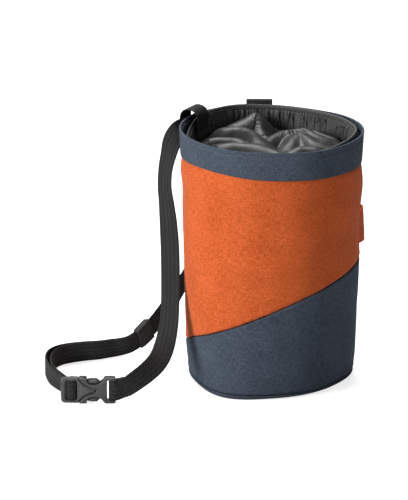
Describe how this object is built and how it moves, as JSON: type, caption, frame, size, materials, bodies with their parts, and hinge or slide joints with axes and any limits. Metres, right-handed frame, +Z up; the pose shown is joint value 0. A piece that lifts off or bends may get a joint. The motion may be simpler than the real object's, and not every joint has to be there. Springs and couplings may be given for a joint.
{
  "type": "climbing chalk bag",
  "caption": "Open-topped cloth bag for climbing chalk, with a gathered closure, belt loops, a brush loop and a waist belt fastened by a side-release buckle.",
  "frame": {"origin": "centre of the sole, on the floor it stands on", "axes": "+Z up to the mouth; +X towards the brush loop, away from the belt and buckle; -Y is the front, with the buckle towards it"},
  "size_m": [0.2314, 0.1544, 0.192],
  "materials": {
    "orange_cloth": "matte woven",
    "navy_cloth": "matte woven",
    "grey_cloth": "gathered, soft sheen",
    "satin": "satin",
    "webbing": "ribbed webbing",
    "elastic": "matte elastic",
    "buckle_plastic": "moulded, fine grain"
  },
  "bodies": {
    "root": {"base_panel": "navy_cloth", "lower_panel": "navy_cloth", "upper_panel": "orange_cloth", "rim_band": "navy_cloth", "closure_ring": "grey_cloth", "ring_piping": "grey_cloth", "closure_cloth": "satin", "brush_loop": "orange_cloth", "left_loop": "webbing", "back_loop": "webbing", "belt_front_run": "webbing", "belt_back_run": "webbing", "belt_floor_run": "webbing", "belt_keeper": "elastic", "buckle_clip": "buckle_plastic", "buckle_socket": "buckle_plastic"}
  },
  "joints": []
}
